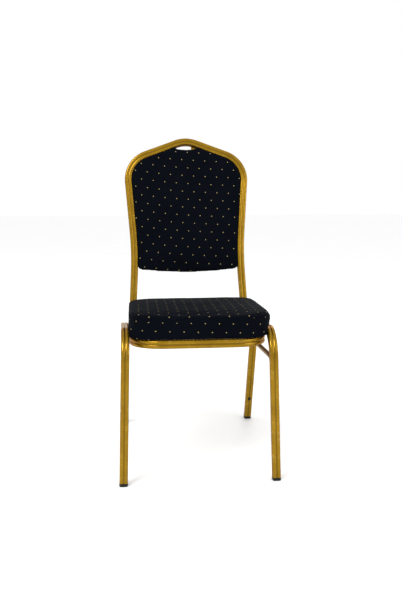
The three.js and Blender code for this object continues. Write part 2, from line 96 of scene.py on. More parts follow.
# ---------- what only the visual model has ----------
SEAM_WIDTH, SEAM_GROOVE = 1.5, 0.5
SEAM_REACH = 12.0  # how far from the seam the cloth is held to the CAD solid
SHOULDER, SHOULDER_Z, SHOULDER_SPREAD = 2.2, 5, 6  # the stuffed edge: how proud, how far above the seam
PUCKERS = (0.18, 0.06)  # height and frequency of the ripples by the seam
PAD_RIM = 11.0  # depth at which a back pad starts to round over
PAD_PRESS = 1.6  # how far the back pads press towards the tube
SEAT_HELD, BACK_HELD = (26, 12), (12, 8)  # where a pad starts to be held, and where it is held fully
SEAT_LUMPS, BACK_LUMPS = (0.9, 0.013), (0.7, 0.012)  # height and frequency of the foam's unevenness
SEAT_LUMPS_Z, BACK_LUMPS_DEPTH = (26, 46), (9, 14)  # where it starts, and where it is full

# the hand hole's tab in the back's plane, and the stretch of it that is welded to the crown
TAB_DEPTH, TAB_TOP, TAB_WELD_X = (4.4, 6.9), 426.5, (17.2, 31.0)
UNDERSIDE_SHADE, UNDERSIDE_SHADE_HALF = 1.5, 62.0  # painted shade under the crown, and how far it spreads each way

# name, place in metres, size, power
LIGHTS = (("key", (-1.9, -2.0, 3.2), 1.5, 76),
          ("fill", (2.4, -1.6, 1.6), 1.4, 18),
          ("rim", (0.8, 2.6, 2.2), 1.2, 14))
FLOOR_HALF = 14.0
CAMERA_PLACE, CAMERA_LENS = (-0.1721, -2.0671, 0.8102), 43.09
CAMERA_FALL, CAMERA_TURN = 9.42, -5.45  # degrees below level, and degrees about the vertical

UP, ACROSS, DEPTH = Vector((0, 0, 1)), Vector((1, 0, 0)), Vector((0, 1, 0))


def plane_matrix(y, z, tilt):
    """The frame of a tilted plane, in millimetres from the row frame's origin."""
    place = Matrix.Translation((0, y + FRONT_FEET_Y, z))
    return place @ Matrix.Rotation(-math.radians(tilt), 4, "X")


BACK_PLANE = plane_matrix(BACK_Y, BACK_Z, RECLINE)
SEAT_PLANE = plane_matrix(SEAT_Y, SEAT_Z, SEAT_FALL)
SIDE_PLANE = Matrix.Translation((0, FRONT_FEET_Y, 0))


# ---------- materials ----------
def new_material(name):
    material = bpy.data.materials.new(name)
    material.use_nodes = True
    tree = material.node_tree
    return material, tree, tree.nodes["Principled BSDF"]


class Graph:
    """Short names for the shader nodes that the materials share."""

    def __init__(self, tree):
        self.tree = tree

    def node(self, kind, **settings):
        made = self.tree.nodes.new(kind)
        for key, value in settings.items():
            setattr(made, key, value)
        return made

    def link(self, source, target):
        self.tree.links.new(source, target)

    def place(self, socket, value):
        if isinstance(value, bpy.types.NodeSocket):
            self.link(value, socket)
        else:
            socket.default_value = value

    def math(self, operation, a, b=0.0):
        made = self.node("ShaderNodeMath", operation=operation)
        self.place(made.inputs[0], a)
        self.place(made.inputs[1], b)
        return made.outputs[0]

    def vector(self, operation, a, b=(0, 0, 0)):
        made = self.node("ShaderNodeVectorMath", operation=operation)
        self.place(made.inputs[0], a)
        self.place(made.inputs[1], b)
        return made.outputs["Value" if operation == "LENGTH" else "Vector"]

    def object_space(self):
        return self.node("ShaderNodeTexCoord").outputs["Object"]

    def uv(self):
        return self.node("ShaderNodeUVMap", uv_map="metres").outputs[0]

    def attribute(self, name):
        return self.node("ShaderNodeAttribute", attribute_name=name).outputs["Fac"]

    def noise(self, scale, detail=2.0, coordinates=None):
        made = self.node("ShaderNodeTexNoise")
        made.inputs["Scale"].default_value = scale
        made.inputs["Detail"].default_value = detail
        self.link(coordinates or self.object_space(), made.inputs["Vector"])
        return made.outputs["Fac"]

    def remap(self, value, low, high, to_low=0.0, to_high=1.0, smooth=False):
        made = self.node("ShaderNodeMapRange")
        made.interpolation_type = "SMOOTHSTEP" if smooth else "LINEAR"
        self.link(value, made.inputs["Value"])
        ends = {"From Min": low, "From Max": high, "To Min": to_low, "To Max": to_high}
        for key, number in ends.items():
            made.inputs[key].default_value = number
        return made.outputs["Result"]

    def mix(self, factor, a, b):
        first_colour, second_colour, colour_result = 6, 7, 2
        made = self.node("ShaderNodeMix", data_type="RGBA")
        self.link(factor, made.inputs[0])
        self.place(made.inputs[first_colour], a)
        self.place(made.inputs[second_colour], b)
        return made.outputs[colour_result]

    def bump(self, height, distance, strength=1.0, under=None):
        made = self.node("ShaderNodeBump")
        made.inputs["Strength"].default_value = strength
        made.inputs["Distance"].default_value = distance
        self.link(height, made.inputs["Height"])
        if under:
            self.link(under, made.inputs["Normal"])
        return made.outputs["Normal"]


def gold_paint(name, deep, bright):
    """Metallic gold powder coat: painted shade in the flutes and under the crown, brighter on rubbed edges,
    with fine orange peel.
    """
    painted_shade_brown, rubbed = (0.075, 0.032, 0.003, 1), (0.62, 0.44, 0.13, 1)
    material, tree, shader = new_material(name)
    g = Graph(tree)
    drift = g.remap(g.noise(16, 2), 0.3, 0.7)
    gold = g.mix(drift, deep, bright)
    # painted shade: the flutes and the crown's underside are mixed towards brown
    painted_shade = g.math("MULTIPLY", g.attribute("flute"), g.remap(g.noise(9, 2), 0.3, 0.7, 0.55, 0.66))
    gold = g.mix(painted_shade, gold, painted_shade_brown)
    rub = g.math("MULTIPLY", g.attribute("edge"), g.remap(g.noise(70, 3), 0.5, 0.75, smooth=True))
    gold = g.mix(g.math("MULTIPLY", rub, 0.35), gold, rubbed)
    g.link(gold, shader.inputs["Base Color"])
    g.link(g.remap(g.noise(140, 3), 0.25, 0.75, 0.22, 0.3), shader.inputs["Roughness"])
    shader.inputs["Metallic"].default_value = 0.82
    shader.inputs["Specular Tint"].default_value = (0.62, 0.4, 0.15, 1)
    shader.inputs["Coat Weight"].default_value = 0.12
    shader.inputs["Coat Roughness"].default_value = 0.12
    peel = g.bump(g.noise(900, 2), 0.0001, 0.15)
    g.link(g.bump(g.noise(35, 2), 0.0005, 0.2, peel), shader.inputs["Normal"])
    return material


def dotted_fabric(name, base, light):
    """Navy weave with small woven beige dots on a centred lattice, read from UVs in metres."""
    across, along, radius = 0.03665, 0.0504, 0.00148
    thread, ragged_by, blur = 0.0009, 0.0004, 0.00035
    dark_beige, light_beige = (0.23, 0.18, 0.06, 1), (0.43, 0.355, 0.15, 1)
    whole_cells = 64  # keeps the lattice's coordinates above zero
    material, tree, shader = new_material(name)
    g = Graph(tree)
    uv = g.uv()
    cell = g.vector("DIVIDE", uv, (across, along, 1))
    nearest = None
    for phase in (0.5, 0.0):
        shift = phase + whole_cells
        shifted = g.vector("FRACTION", g.vector("ADD", cell, (shift, shift, 0)))
        centred = g.vector("SUBTRACT", shifted, (0.5, 0.5, 0))
        distance = g.vector("LENGTH", g.vector("MULTIPLY", centred, (across, along, 0)))
        nearest = distance if nearest is None else g.math("MINIMUM", nearest, distance)
    ragged = g.remap(g.noise(900, 2, uv), 0.2, 0.8, -ragged_by, ragged_by)
    dot = g.remap(g.math("ADD", nearest, ragged), radius + blur, radius - blur, smooth=True)

    pitch = 2 * math.pi / thread
    threads = g.vector("MULTIPLY", uv, (pitch, pitch, 0))
    parts = g.node("ShaderNodeSeparateXYZ")
    g.link(threads, parts.inputs[0])
    warp = g.math("SINE", parts.outputs[0])
    weft = g.math("SINE", parts.outputs[1])
    weave = g.math("MULTIPLY", warp, weft)
    slub = g.noise(260, 3, g.vector("MULTIPLY", uv, (1, 6, 1)))
    tone = g.math("ADD", g.remap(weave, -1, 1, 0, 0.45), g.remap(slub, 0.25, 0.75, 0, 0.4))
    fading = g.remap(g.noise(14, 2), 0.3, 0.7, -0.1, 0.15)
    cloth = g.mix(g.math("ADD", tone, fading), base, light)
    beige = g.mix(g.remap(weave, -1, 1), dark_beige, light_beige)
    g.link(g.mix(dot, cloth, beige), shader.inputs["Base Color"])
    shader.inputs["Roughness"].default_value = 0.78
    shader.inputs["Specular IOR Level"].default_value = 0.03
    shader.inputs["Sheen Weight"].default_value = 0.012
    shader.inputs["Sheen Roughness"].default_value = 0.3
    shader.inputs["Sheen Tint"].default_value = (0.55, 0.68, 0.9, 1)
    yarn = g.bump(weave, 0.00012, 0.6)
    knots = g.bump(dot, 0.0004, 0.7, yarn)
    g.link(g.bump(g.noise(45, 2), 0.0012, 0.25, knots), shader.inputs["Normal"])
    return material


def black_plastic():
    """Moulded black plastic with pale scuffs."""
    black, scuffed = (0.004, 0.004, 0.0045, 1), (0.03, 0.029, 0.027, 1)
    material, tree, shader = new_material("black_plastic")
    g = Graph(tree)
    scuffs = g.remap(g.noise(180, 5), 0.55, 0.75, smooth=True)
    g.link(g.mix(scuffs, black, scuffed), shader.inputs["Base Color"])
    g.link(g.remap(g.noise(90, 3), 0.3, 0.7, 0.42, 0.62), shader.inputs["Roughness"])
    shader.inputs["Specular IOR Level"].default_value = 0.25
    g.link(g.bump(g.noise(700, 2), 0.0002, 0.5), shader.inputs["Normal"])
    return material


def plywood():
    """Birch plywood with its grain along Y."""
    dark, pale = (0.42, 0.27, 0.13, 1), (0.66, 0.48, 0.28, 1)
    material, tree, shader = new_material("plywood")
    g = Graph(tree)
    stretched = g.vector("MULTIPLY", g.object_space(), (14, 1.2, 14))
    grain = g.noise(9, 6, stretched)
    g.link(g.mix(g.remap(grain, 0.3, 0.7), dark, pale), shader.inputs["Base Color"])
    shader.inputs["Roughness"].default_value = 0.75
    g.link(g.bump(grain, 0.0005, 0.5), shader.inputs["Normal"])
    return material


def lining():
    """Thin black spunbonded cloth under the seat."""
    black, grey = (0.006, 0.006, 0.007, 1), (0.035, 0.035, 0.037, 1)
    material, tree, shader = new_material("lining")
    g = Graph(tree)
    fibres = g.noise(420, 6)
    g.link(g.mix(g.remap(fibres, 0.35, 0.7), black, grey), shader.inputs["Base Color"])
    shader.inputs["Roughness"].default_value = 0.9
    g.link(g.bump(fibres, 0.0004, 0.6), shader.inputs["Normal"])
    return material


def zinc():
    """Zinc plating on the screws."""
    dull, bright = (0.42, 0.42, 0.40, 1), (0.66, 0.66, 0.62, 1)
    material, tree, shader = new_material("zinc")
    g = Graph(tree)
    spangle = g.noise(500, 4)
    g.link(g.mix(spangle, dull, bright), shader.inputs["Base Color"])
    g.link(g.remap(spangle, 0.2, 0.8, 0.25, 0.45), shader.inputs["Roughness"])
    shader.inputs["Metallic"].default_value = 0.95
    return material


def floor_paint():
    """Matt white, barely uneven."""
    greyer, whiter = (0.95, 0.95, 0.95, 1), (0.98, 0.98, 0.98, 1)
    material, tree, shader = new_material("floor_paint")
    g = Graph(tree)
    g.link(g.mix(g.noise(3, 2), greyer, whiter), shader.inputs["Base Color"])
    shader.inputs["Roughness"].default_value = 0.65
    return material


GOLD = gold_paint("gold_paint", (0.235, 0.128, 0.0045, 1), (0.32, 0.183, 0.008, 1))
# a darker copy of the gold for the braces: painted shade for the shadow under the seat
BRACE_PAINTED_SHADE_GOLD = gold_paint("painted_shade_gold_paint", (0.055, 0.032, 0.010, 1), (0.085, 0.052, 0.017, 1))
FABRIC = dotted_fabric("dotted_fabric", (0.0005, 0.0009, 0.0022, 1), (0.0022, 0.0033, 0.0068, 1))
PLASTIC, PLYWOOD, LINING, ZINC = black_plastic(), plywood(), lining(), zinc()


# ---------- meshes ----------
def finish_piece(obj, material, nodes=()):
    """The piece's material, its place under the root body and the CAD nodes that it stands for, which are
    hidden.
    """
    obj.data.materials.clear()
    obj.data.materials.append(material)
    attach(obj, "root")
    if nodes:
        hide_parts(*nodes)


def mesh_object(name, vertices, faces, smooth=True):
    mesh = bpy.data.meshes.new(name)
    mesh.from_pydata([tuple(v) for v in vertices], [], faces)
    mesh.polygons.foreach_set("use_smooth", [smooth] * len(mesh.polygons))
    mesh.update()
    obj = bpy.data.objects.new(name, mesh)
    bpy.context.scene.collection.objects.link(obj)
    return obj


def bent_path(corners, step=2.5, spacing=30.0):
    """Points and tangents along a polyline of (point, bend radius), with its corners rounded."""
    points = [Vector(c[0]) for c in corners]
    stations = []

    def straight(start, end, tangent):
        count = max(1, int((end - start).length / spacing))
        stations.extend((start.lerp(end, k / count), tangent) for k in range(count))

    here = points[0]
    for i in range(1, len(points) - 1):
        into = (points[i] - points[i - 1]).normalized()
        out = (points[i + 1] - points[i]).normalized()
        turn, axis, radius = into.angle(out), into.cross(out).normalized(), corners[i][1]
        start = points[i] - into * radius * math.tan(turn / 2)
        straight(here, start, into)
        centre = start + axis.cross(into) * radius
        steps = max(3, math.ceil(math.degrees(turn) / step))
        for k in range(steps):
            rotation = Matrix.Rotation(turn * k / steps, 3, axis)
            stations.append((centre + rotation @ (start - centre), rotation @ into))
        here = centre + Matrix.Rotation(turn, 3, axis) @ (start - centre)
    last = (points[-1] - points[-2]).normalized()
    straight(here, points[-1], last)
    stations.append((points[-1], last))
    return stations


def fluted_section():
    """(u, v, flute, edge) round a square tube with round corners and a flute down each side."""
    points = []
    straight = TUBE_HALF - TUBE_CORNER
    flute_steps, corner_steps, half_rubbed = 5, 6, 0.3
    for quarter in range(4):
        turn = Matrix.Rotation(quarter * math.pi / 2, 2)
        side = [(TUBE_HALF, -(straight + FLUTE_HALF) / 2, 0, half_rubbed)]
        for k in range(-flute_steps, flute_steps + 1):
            t = k / flute_steps
            dip = math.cos(t * math.pi / 2) ** 2
            lip = float(abs(k) == flute_steps)
            side.append((TUBE_HALF - FLUTE_DEPTH * dip, t * FLUTE_HALF, dip, lip))
        side.append((TUBE_HALF, (straight + FLUTE_HALF) / 2, 0, half_rubbed))
        for k in range(corner_steps + 1):
            angle = math.radians(90 // corner_steps * k)
            u, v = straight + TUBE_CORNER * math.cos(angle), straight + TUBE_CORNER * math.sin(angle)
            side.append((u, v, 0, math.sin(2 * angle) ** 2))
        for u, v, flute, edge in side:
            turned = turn @ Vector((u, v))
            points.append((turned.x, turned.y, flute, edge))
    return points


def round_section(radius, sides=28):
    """(u, v, flute, edge) round a plain round tube."""
    turns = [2 * math.pi * k / sides for k in range(sides)]
    return [(radius * math.cos(a), radius * math.sin(a), 0, 0) for a in turns]


def tube(name, stations, side, section, matrix):
    """A capped tube whose section keeps its first axis along side, with UVs in metres along and around."""
    count = len(section)
    vertices, faces, uvs, runs = [], [], [], []
    run = 0.0
    for i, (point, tangent) in enumerate(stations):
        u = (side - tangent * side.dot(tangent)).normalized()
        v = tangent.cross(u)
        run += (point - stations[i - 1][0]).length if i else 0.0
        runs.append(run * MM)
        vertices.extend((matrix @ (point + u * s[0] + v * s[1])) * MM for s in section)
    around = [0.0]
    for k in range(count):
        a, b = Vector(section[k][:2]), Vector(section[(k + 1) % count][:2])
        around.append(around[-1] + (b - a).length * MM)
    for r in range(len(stations) - 1):
        for k in range(count):
            a, b = r * count + k, r * count + (k + 1) % count
            faces.append((a, b, b + count, a + count))
            uvs += [(runs[r], around[k]), (runs[r], around[k + 1]),
                    (runs[r + 1], around[k + 1]), (runs[r + 1], around[k])]
    first = (len(stations) - 1) * count
    faces += [tuple(reversed(range(count))), tuple(range(first, first + count))]
    uvs += [(0, around[k]) for k in range(count)] * 2
    obj = mesh_object(name, vertices, faces)
    layer = obj.data.uv_layers.new(name="metres")
    layer.data.foreach_set("uv", np.array(uvs, np.float32).ravel())
    # flute weighs the painted shade in the flutes (raised under the crown), edge the rubbed edges
    for index, attribute in ((2, "flute"), (3, "edge")):
        values = np.array([s[index] for s in section] * len(stations), np.float32)
        obj.data.attributes.new(attribute, "FLOAT", "POINT").data.foreach_set("value", values)
    return obj


def trim(obj, point, normal):
    """Cuts away what lies beyond a plane, given in millimetres in the row frame, and caps the cut."""
    made = bmesh.new()
    made.from_mesh(obj.data)
    everything = made.verts[:] + made.edges[:] + made.faces[:]
    cut = bmesh.ops.bisect_plane(made, geom=everything, plane_co=Vector(point) * MM, plane_no=normal,
                                 clear_outer=True)
    edges = [e for e in cut["geom_cut"] if isinstance(e, bmesh.types.BMEdge)]
    bmesh.ops.holes_fill(made, edges=edges, sides=0)
    made.to_mesh(obj.data)
    made.free()


def sharpen(obj, degrees=35):
    """Crisp edges only where two faces meet at more than the angle."""
    made = bmesh.new()
    made.from_mesh(obj.data)
    limit = math.radians(degrees)
    for edge in made.edges:
        edge.smooth = not (len(edge.link_faces) == 2 and edge.calc_face_angle() > limit)
    made.to_mesh(obj.data)
    made.free()


def mirrored(corners):
    """The same corners on the other side, in reverse order."""
    return [((-c[0][0], *c[0][1:]), *c[1:]) for c in reversed(corners)]


def leg_point(foot, bend, z):
    """The point at a height on the straight part of a leg."""
    t = z / bend[2]
    return (foot[0] + (bend[0] - foot[0]) * t, foot[1] + (bend[1] - foot[1]) * t, z)


# ---------- the steel frame ----------
FLUTED = fluted_section()


def side_frames():
    for side, sign in (("right", 1), ("left", -1)):
        corners = [(leg_point(FRONT_FOOT, FRONT_BEND, FRONT_END_Z), 0), (FRONT_BEND[:3], FRONT_BEND[3]),
                   (REAR_BEND[:3], REAR_BEND[3]), (leg_point(REAR_FOOT, REAR_BEND, REAR_END_Z), 0)]
        corners = [((sign * p[0], p[1], p[2]), radius) for p, radius in corners]
        obj = tube(f"fluted_side_frame_{side}", bent_path(corners), ACROSS, FLUTED, SIDE_PLANE)
        sharpen(obj)
        finish_piece(obj, GOLD, [f"side_frame_{side}"])


def side_braces():
    for side, sign in (("right", 1), ("left", -1)):
        def place(y, z):
            t = (y - BRACE_FRONT[0]) / (BRACE_REAR[0] - BRACE_FRONT[0])
            return (sign * (BRACE_X[0] + (BRACE_X[1] - BRACE_X[0]) * t), y, z)

        corners = [(place(*BRACE_FRONT), 0), (place(*BRACE_FRONT_BEND[:2]), BRACE_FRONT_BEND[2]),
                   (place(*BRACE_REAR_BEND[:2]), BRACE_REAR_BEND[2]), (place(*BRACE_REAR), 0)]
        obj = tube(f"side_brace_tube_{side}", bent_path(corners, 4), ACROSS, round_section(BRACE_RADIUS),
                   SIDE_PLANE)
        for foot, bend, end, facing in ((FRONT_FOOT, FRONT_BEND, BRACE_FRONT, 1),
                                        (REAR_FOOT, REAR_BEND, BRACE_REAR, -1)):
            leg, above = Vector(leg_point(foot, bend, end[1])), Vector(bend[:3])
            leg.x, above.x = sign * leg.x, sign * above.x
            axis = (above - leg).normalized()
            face = (DEPTH * facing - axis * axis.dot(DEPTH * facing)).normalized()
            on_face = SIDE_PLANE @ (leg + face * TUBE_HALF)
            trim(obj, on_face, -face)
            weld_bead(f"weld_{'front' if facing == 1 else 'rear'}_{side}", obj, on_face, face)
        sharpen(obj)
        # the braces' darker gold is painted shade
        finish_piece(obj, BRACE_PAINTED_SHADE_GOLD, [f"side_brace_{side}"])


def weld_bead(name, obj, point, normal):
    """A lumpy ring of weld round the outline that a trimmed tube leaves on a plane."""
    bead, around, lift, lumps, lump_scale = 1.7 * MM, 10, 0.3, 0.25, 900
    on_plane = 1e-5
    point = Vector(point) * MM
    rim = [v.co.copy() for v in obj.data.vertices if abs((v.co - point).dot(normal)) < on_plane]
    centre = sum(rim, Vector()) / len(rim)
    u = normal.orthogonal().normalized()
    v = normal.cross(u)
    rim.sort(key=lambda p: math.atan2((p - centre).dot(v), (p - centre).dot(u)))
    rings = []
    for p in rim:
        out = (p - centre).normalized()
        size = bead * (1 + lumps * noise.noise(p * lump_scale))
        for k in range(around):
            angle = 2 * math.pi * k / around
            rings.append(p + out * size * math.cos(angle) + normal * size * (lift + math.sin(angle)))
    count = len(rim)
    faces = [(r * around + k, ((r + 1) % count) * around + k,
              ((r + 1) % count) * around + (k + 1) % around, r * around + (k + 1) % around)
             for r in range(count) for k in range(around)]
    bead_object = mesh_object(name, rings, faces)
    finish_piece(bead_object, GOLD)
    outward(bead_object)


def outward(obj):
    """Turns every face to the outside."""
    made = bmesh.new()
    made.from_mesh(obj.data)
    bmesh.ops.recalc_face_normals(made, faces=made.faces[:])
    made.to_mesh(obj.data)
    made.free()


def back_frame():
    half = [((UPRIGHT_END[0], 0, UPRIGHT_END[1]), 0), ((BACK_WAIST[0], 0, BACK_WAIST[1]), BACK_WAIST[2]),
            ((CROWN_SHOULDER[0], 0, CROWN_SHOULDER[1]), CROWN_SHOULDER[2])]
    corners = half + [((0, 0, CROWN_PEAK[0]), CROWN_PEAK[1])] + mirrored(half)
    obj = tube("fluted_back_frame", bent_path(corners, spacing=20), DEPTH, FLUTED, BACK_PLANE)
    # painted shade on the crown's underside over the hand hole
    paint_underside_shade(obj)
    sharpen(obj)
    finish_piece(obj, GOLD, ["back_frame_tube"])


def paint_underside_shade(obj):
    """Painted shade: the crown's underside is darkened over the hand hole."""
    painted_shade = obj.data.attributes["flute"].data
    inner_side = 0.74 * TUBE_HALF
    for index, place in enumerate(in_plane(BACK_PLANE, coordinates(obj))):
        inner = FLUTED[index % len(FLUTED)][1] > inner_side
        if inner and abs(place[0]) < UNDERSIDE_SHADE_HALF:
            painted_shade[index].value = UNDERSIDE_SHADE


def crown_tab_weld():
    """The weld that fills the corner between the tab in the hand hole and the crown."""
    across, into_crown, into_tab = 9, 0.6, 1.5
    wide, narrow, lumps, lump_scale = 0.8, 0.3, 0.35, 0.5
    (left, right), (front, back) = TAB_WELD_X, TAB_DEPTH
    vertices, faces = [], []
    for k in range(across):
        x = left + (right - left) * k / (across - 1)
        top, foot = crown_underside(x) + into_crown, TAB_TOP - into_tab
        lump = lumps * noise.noise(Vector((x * lump_scale, 0, 0)))
        outline = ((front - wide - lump, top), (front - narrow, foot),
                   (back + narrow, foot), (back + wide + lump, top))
        vertices += [(BACK_PLANE @ Vector((x, depth, height))) * MM for depth, height in outline]
    count = len(outline)
    for r in range(across - 1):
        for k in range(count):
            a, b = r * count + k, r * count + (k + 1) % count
            faces.append((a, b, b + count, a + count))
    faces += [tuple(reversed(range(count))), tuple(range(count * (across - 1), count * across))]
    obj = mesh_object("crown_tab_weld", vertices, faces)
    outward(obj)
    bevel = obj.modifiers.new("bevel", "BEVEL")
    bevel.width, bevel.segments = 0.4 * MM, 2
    finish_piece(obj, GOLD)


def crown_underside(x):
    """Height of the crown tube's lower face in the back's plane."""
    slope = math.atan2(CROWN_PEAK[0] - CROWN_SHOULDER[1], CROWN_SHOULDER[0])
    centre = CROWN_PEAK[0] - CROWN_PEAK[1] / math.cos(slope)
    inner = CROWN_PEAK[1] - TUBE_HALF
    if abs(x) < inner * math.sin(slope):
        return centre + math.sqrt(inner ** 2 - x ** 2)
    return CROWN_PEAK[0] - abs(x) * math.tan(slope) - TUBE_HALF / math.cos(slope)


def seat_frame():
    z = -TUBE_HALF
    half = [((SEAT_REAR_HALF, SEAT_RAIL_END, z), 0),
            ((SEAT_FRONT_HALF, SEAT_CORNER_Y, z), SEAT_CORNER_RADIUS)]
    corners = half + [((0, SEAT_FRONT_Y, z), SEAT_FRONT_RADIUS)] + mirrored(half)
    obj = tube("fluted_seat_frame", bent_path(corners), UP, FLUTED, SEAT_PLANE)
    upright_front = BACK_PLANE @ Vector((0, -TUBE_HALF, 0))
    trim(obj, upright_front, BACK_PLANE.to_3x3() @ DEPTH)
    sharpen(obj)
    finish_piece(obj, GOLD, ["seat_frame_tube"])


def rear_cross_tube():
    ends = [((e * (CROSS_HALF - TUBE_HALF), CROSS_Y, CROSS_Z), 0) for e in (-1, 1)]
    obj = tube("rear_cross_rail", bent_path(ends), UP, round_section(CROSS_RADIUS, 36), SIDE_PLANE)
    sharpen(obj)
    finish_piece(obj, GOLD, ["rear_cross_tube"])


# ---------- padded pieces ----------
def ramp(value, start, end):
    """0 up to the start, 1 from the end on, straight in between."""
    return np.clip((value - start) / (end - start), 0, 1)


def soft_copy(name, node, voxel):
    """A CAD soft solid as a new object, meshed evenly in voxels of a size in millimetres."""
    obj = bpy.data.objects.new(name, NODES[node].data.copy())
    bpy.context.scene.collection.objects.link(obj)
    for layer in list(obj.data.uv_layers):
        obj.data.uv_layers.remove(layer)
    remesh = obj.modifiers.new("remesh", "REMESH")
    remesh.mode, remesh.voxel_size = "VOXEL", voxel * MM
    apply_modifiers(obj)
    return obj


def apply_modifiers(obj):
    bpy.context.view_layer.update()
    evaluated = obj.evaluated_get(bpy.context.evaluated_depsgraph_get())
    mesh = bpy.data.meshes.new_from_object(evaluated)
    obj.modifiers.clear()
    obj.data = mesh


def coordinates(obj):
    co = np.zeros(len(obj.data.vertices) * 3)
    obj.data.vertices.foreach_get("co", co)
    return co.reshape(-1, 3)


def vertex_normals(obj):
    normals = np.zeros(len(obj.data.vertices) * 3)
    obj.data.vertex_normals.foreach_get("vector", normals)
    return normals.reshape(-1, 3)


def set_coordinates(obj, co):
    obj.data.vertices.foreach_set("co", np.ascontiguousarray(co, np.float32).ravel())
    obj.data.update()


def in_plane(matrix, co):
    """Row-frame metres to a tilted plane's own millimetres."""
    inverse = np.array(matrix.inverted())
    return (co / MM) @ inverse[:3, :3].T + inverse[:3, 3]


def smooth_shape(obj, steps):
    modifier = obj.modifiers.new("smooth", "SMOOTH")
    modifier.factor, modifier.iterations = 0.5, steps
    apply_modifiers(obj)


def inflate(obj, held, shrink, cap, pressure=4.0, frames=20):
    """Fills a pad by cloth simulation: held is how firmly each point is pinned, cap the furthest it moves."""
    start = coordinates(obj) - vertex_normals(obj) * (shrink * MM) * (1 - held)[:, None]
    set_coordinates(obj, start)
    group = obj.vertex_groups.new(name="held")
    for index, weight in enumerate(held):
        if weight > 0:
            group.add([index], float(weight), "REPLACE")
    cloth = obj.modifiers.new("cloth", "CLOTH")
    cloth.settings.quality = 6
    cloth.settings.use_pressure = True
    cloth.settings.uniform_pressure_force = pressure
    cloth.settings.vertex_group_mass = "held"
    cloth.settings.effector_weights.gravity = 0
    cloth.point_cache.frame_start, cloth.point_cache.frame_end = 1, frames
    for moment in range(1, frames + 1):
        bpy.context.scene.frame_set(moment)
    evaluated = obj.evaluated_get(bpy.context.evaluated_depsgraph_get())
    blown = np.zeros(len(obj.data.vertices) * 3)
    evaluated.data.vertices.foreach_get("co", blown)
    outwards = vertex_normals(obj)
    moved = blown.reshape(-1, 3) - start
    moved -= outwards * np.minimum(0, (moved * outwards).sum(axis=1))[:, None]
    length = np.linalg.norm(moved, axis=1, keepdims=True)
    moved *= np.minimum(1, cap * MM / np.maximum(length, 1e-9))
    obj.modifiers.clear()
    obj.vertex_groups.clear()
    set_coordinates(obj, start + moved)
    bpy.context.scene.frame_set(1)


def write_uv(obj, pattern):
    """pattern(corner vertex positions, corner normals, face centres per corner) gives U, V in metres."""
    mesh = obj.data
    co, normals = coordinates(obj), vertex_normals(obj)
    corner = np.zeros(len(mesh.loops), int)
    mesh.loops.foreach_get("vertex_index", corner)
    total = np.zeros(len(mesh.polygons), int)
    mesh.polygons.foreach_get("loop_total", total)
    centre = np.zeros(len(mesh.polygons) * 3)
    mesh.polygons.foreach_get("center", centre)
    centre = np.repeat(centre.reshape(-1, 3), total, axis=0)
    uv = pattern(co[corner], normals[corner], centre)
    layer = mesh.uv_layers.new(name="metres")
    layer.data.foreach_set("uv", np.ascontiguousarray(uv, np.float32).ravel())


def back_pattern(facing):
    """Dots on a back pad: rows sag a little to the right, and the lowest columns lean to the left."""
    sag_by, lean_by, lean_below = (-6.37, 1.9, -0.58), -6.0e-4, 190
    first_column, first_row = 3.5, 307.6

    def pattern(co, normals, centre):
        n = normals @ np.array(BACK_PLANE)[:3, :3]
        x, depth, s = in_plane(BACK_PLANE, co).T
        behind = np.maximum(0, (depth - facing * PAD_RIM) * -facing)
        sideways = np.stack([n[:, 0], n[:, 2]], 1)
        sideways /= np.maximum(np.linalg.norm(sideways, axis=1, keepdims=True), 1e-6)
        x = x + sideways[:, 0] * behind
        s = s + sideways[:, 1] * behind
        h = x / 100
        sag = sag_by[0] * h + sag_by[1] * h ** 2 + sag_by[2] * h ** 3
        lean = lean_by * np.maximum(0, lean_below - s) ** 2
        return np.stack([x - first_column - lean, s - sag - first_row], 1) * MM
    return pattern


def seat_pattern(co, normals, centre):
    """Dots on the seat: lengthways columns on top, and the cloth turned a quarter round the sides."""
    half, depth, radius, base = 187.0, 384.0, 62.0, 1.5  # the cushion's outline and its lowest band
    band_from, band_stretch, band_shift = 105.0, 0.984, 109.0
    row_level, row_stretch, row_tilt = 20.8, 1.07, 0.04
    top_shift, column_stretch, column_shift = 12.0, 0.952, 153.2
    x, y, z = in_plane(SEAT_PLANE, co).T
    level = in_plane(SEAT_PLANE, centre)[:, 2:]
    bx, by = half - radius, depth / 2 - radius  # half the straight parts of the outline
    cy = y - depth / 2
    qx, qy = np.clip(x, -bx, bx), np.clip(cy, -by, by)
    angle = np.arctan2(x - qx, -(cy - qy))
    front_half = qx + radius * angle
    side = np.sign(x) * (bx + radius * math.pi / 2 + (cy + by))
    on_side = (np.abs(cy) < by) & (np.abs(x) > bx)
    rear = np.sign(x) * (bx + radius * math.pi / 2 + 2 * by)
    behind = rear + np.sign(x) * (radius * (np.abs(angle) - math.pi / 2) + (bx - np.abs(qx)))
    arc = np.where(on_side, side, np.where(cy < 0, front_half, behind))
    band = np.stack([(arc - band_from) * band_stretch + band_shift,
                     (z - row_level) * row_stretch + row_tilt * x], 1)
    top = np.stack([y + top_shift, x * column_stretch + column_shift], 1)
    below = np.stack([x, y], 1)
    return np.where(level > SEAM_Z, top, np.where(level < base, below, band)) * MM


